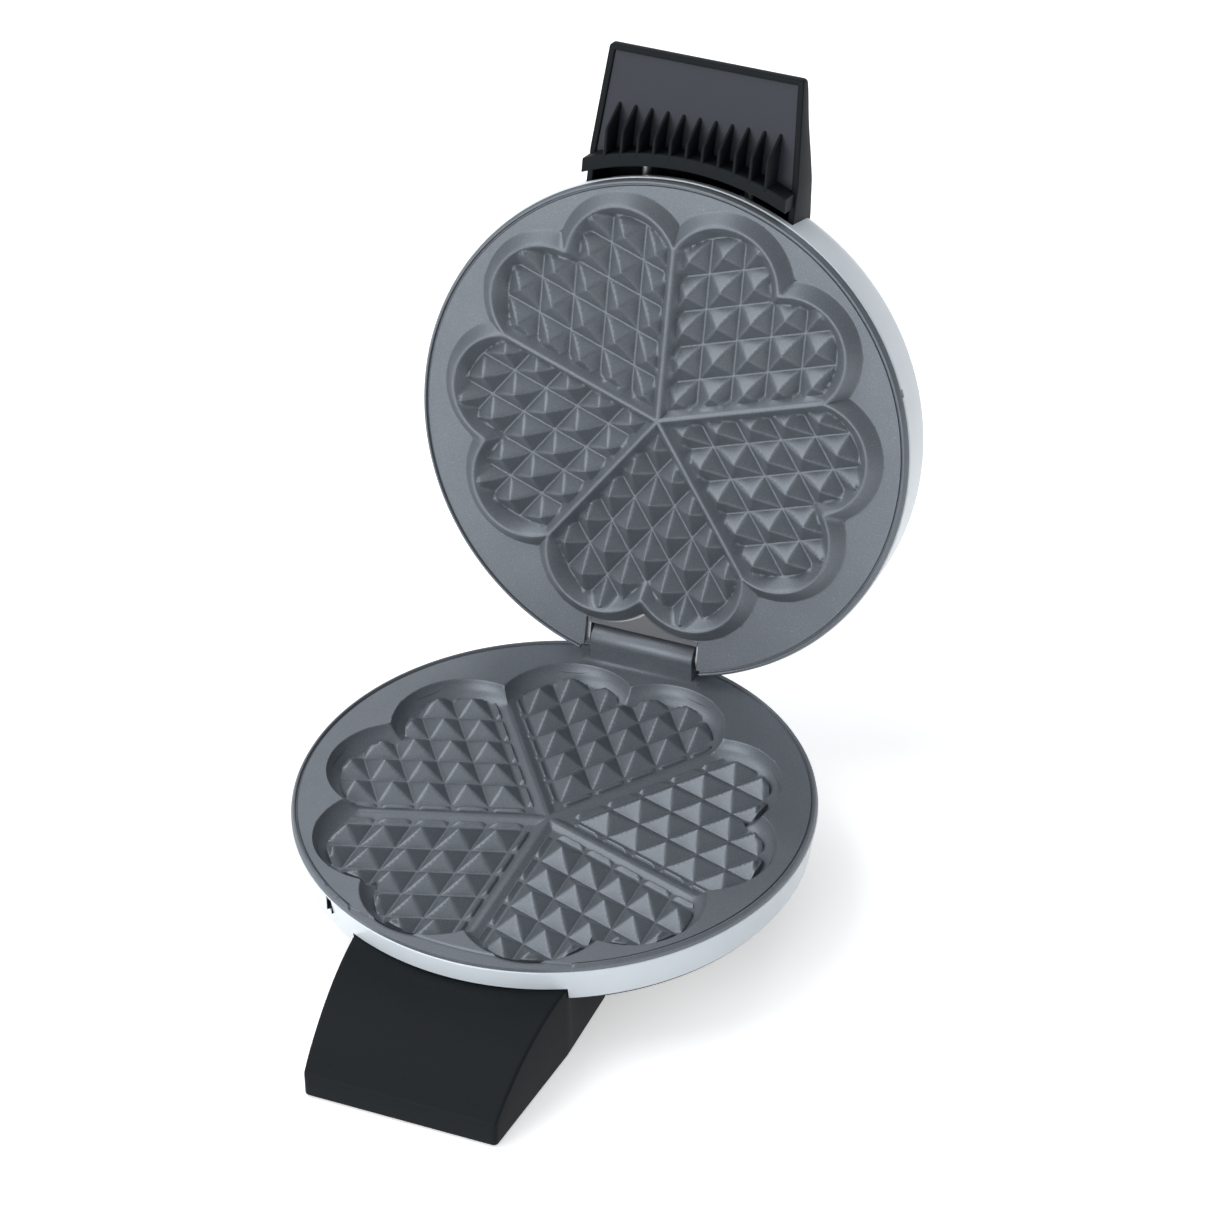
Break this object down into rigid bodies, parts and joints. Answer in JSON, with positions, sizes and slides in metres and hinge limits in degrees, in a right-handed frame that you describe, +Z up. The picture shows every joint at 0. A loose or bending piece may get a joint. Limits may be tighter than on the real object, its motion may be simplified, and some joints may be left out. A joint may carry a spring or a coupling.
{
  "type": "heart waffle maker",
  "caption": "Round hinged waffle iron standing open, with heart-shaped cooking fields, white covers, black grips and a browning dial on the lid.",
  "frame": {"origin": "on the table, under the point where the five hearts of the lower plate meet", "axes": "+X right, +Y from the handle to the hinge, +Z up"},
  "size_m": [0.192, 0.3004, 0.2672],
  "materials": {
    "white_cover": "satin bluish white",
    "plate_coating": "dark grey speckled non-stick coating on cast aluminium",
    "black_plastic": "satin, fine grain",
    "steel": "plain",
    "heater_tube": "matt, heat tinted",
    "shield_metal": "bright sheet",
    "terminal_plastic": "matt",
    "wire_sleeve": "woven heat-proof sleeve",
    "rubber_black": "matt",
    "lamp_red": "clear red lens",
    "lamp_green": "clear green lens"
  },
  "bodies": {
    "base": {"base_shell": "black_plastic", "lower_casing": "white_cover", "lower_plate": "plate_coating", "lower_heater": "heater_tube", "lower_reflector": "shield_metal", "thermal_cutout": "steel", "terminal_block": "terminal_plastic", "lower_wiring": "wire_sleeve", "base_screws": "steel", "lower_handle": "black_plastic", "lower_handle_screws": "steel", "rubber_feet": "rubber_black", "cord_gland": "rubber_black", "hinge_barrel": "plate_coating", "hinge_barrel_screws": "steel", "hinge_pin": "steel"},
    "lid": {"lid_casing": "white_cover", "upper_plate": "plate_coating", "hinge_panel": "plate_coating", "lid_hinge_bracket": "steel", "lid_hinge_screw": "steel", "upper_heater": "heater_tube", "upper_reflector": "shield_metal", "upper_reflector_screws": "steel", "thermostat": "black_plastic", "upper_handle": "black_plastic", "handle_insert": "black_plastic", "upper_handle_screws": "steel", "heating_lamp": "lamp_red", "ready_lamp": "lamp_green"},
    "dial": {"thermostat_shaft": "steel", "browning_dial": "black_plastic"}
  },
  "joints": [
    {"name": "lid_hinge", "type": "hinge", "parent": "base", "child": "lid", "pos_m": [0, 0.0932, 0.0498], "axis": [1, 0, 0], "range_deg": [0, 105]},
    {"name": "dial_turn", "type": "hinge", "parent": "lid", "child": "dial", "pos_m": [0, 0.15995, 0.18224], "axis": [0, 0.9659, -0.2588], "range_deg": [0, 270]}
  ]
}
